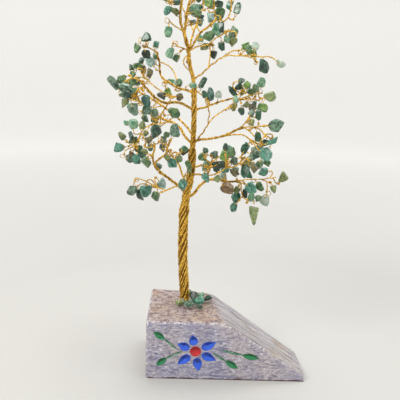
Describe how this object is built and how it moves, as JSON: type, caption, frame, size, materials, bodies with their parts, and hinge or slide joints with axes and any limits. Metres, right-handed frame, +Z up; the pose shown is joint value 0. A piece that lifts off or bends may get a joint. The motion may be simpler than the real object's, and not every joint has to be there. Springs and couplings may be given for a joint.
{
  "type": "gemstone chip wire tree",
  "caption": "Small decorative tree of twisted gold-coloured wire with tumbled stone chips as leaves, standing in a painted wooden wedge carved with a flower.",
  "frame": {"origin": "centre of the wedge's underside, halfway along its length and its left depth", "axes": "+Z up from the underside to the tree's top, +X along the wedge towards its low end, -Y out of the carved front"},
  "size_m": [0.1297, 0.0808, 0.2647],
  "materials": {
    "whitewashed_wood": "matt whitewash, worn at the edges",
    "blue_paint": "glossy paint",
    "red_paint": "glossy paint",
    "green_paint": "glossy paint",
    "glue": "clear to milky, glossy",
    "gold_wire": "satin drawn wire",
    "stone_chips": "tumbled and polished"
  },
  "bodies": {
    "tree": {"back_left_stones": "stone_chips", "back_left_wires": "gold_wire", "back_right_stones": "stone_chips", "back_right_wires": "gold_wire", "back_top_stones": "stone_chips", "back_top_wires": "gold_wire", "bottom_left_stones": "stone_chips", "bottom_left_wires": "gold_wire", "flower_centre_paint": "red_paint", "foot_stones": "stone_chips", "front_stones": "stone_chips", "front_wires": "gold_wire", "high_left_stones": "stone_chips", "high_left_wires": "gold_wire", "inner_left_stones": "stone_chips", "inner_left_wires": "gold_wire", "inner_right_stones": "stone_chips", "inner_right_wires": "gold_wire", "leader_left_stones": "stone_chips", "leader_left_wires": "gold_wire", "leader_right_stones": "stone_chips", "leader_right_wires": "gold_wire", "leaf_paint": "green_paint", "long_right_stones": "stone_chips", "long_right_wires": "gold_wire", "long_upper_stones": "stone_chips", "long_upper_wires": "gold_wire", "low_left_stones": "stone_chips", "low_left_wires": "gold_wire", "low_right_stones": "stone_chips", "low_right_wires": "gold_wire", "mid_left_stones": "stone_chips", "mid_left_wires": "gold_wire", "mid_right_stones": "stone_chips", "mid_right_wires": "gold_wire", "near_right_stones": "stone_chips", "near_right_wires": "gold_wire", "petal_paint": "blue_paint", "small_left_stones": "stone_chips", "small_left_wires": "gold_wire", "top_right_stones": "stone_chips", "top_right_wires": "gold_wire", "trunk_glue": "glue", "trunk_lower": "gold_wire", "trunk_middle": "gold_wire", "trunk_top": "gold_wire", "trunk_upper": "gold_wire", "upper_left_stones": "stone_chips", "upper_left_wires": "gold_wire", "upper_right_stones": "stone_chips", "upper_right_wires": "gold_wire", "wedge_base": "whitewashed_wood"},
    "left_pendant_body": {"left_pendant": "stone_chips"},
    "short_pendant_body": {"short_pendant": "stone_chips"},
    "right_pendant_body": {"right_pendant": "stone_chips"},
    "long_pendant_body": {"long_pendant": "stone_chips"}
  },
  "joints": [
    {"name": "left_swing", "type": "hinge", "parent": "tree", "child": "left_pendant_body", "pos_m": [-0.04104, 0.0017, 0.21768], "axis": [-0.1765, 0.9843, 0.0093], "range_deg": [-25, 25]},
    {"name": "short_swing", "type": "hinge", "parent": "tree", "child": "short_pendant_body", "pos_m": [-0.03899, 0.0003, 0.20484], "axis": [0.1276, 0.9916, -0.0225], "range_deg": [-25, 25]},
    {"name": "right_swing", "type": "hinge", "parent": "tree", "child": "right_pendant_body", "pos_m": [0.01524, -0.0165, 0.19914], "axis": [0.1298, 0.9914, 0.0182], "range_deg": [-25, 25]},
    {"name": "long_swing", "type": "hinge", "parent": "tree", "child": "long_pendant_body", "pos_m": [0.01789, 0.0199, 0.1048], "axis": [-0.1292, 0.9916, -0.0068], "range_deg": [-25, 25]}
  ]
}
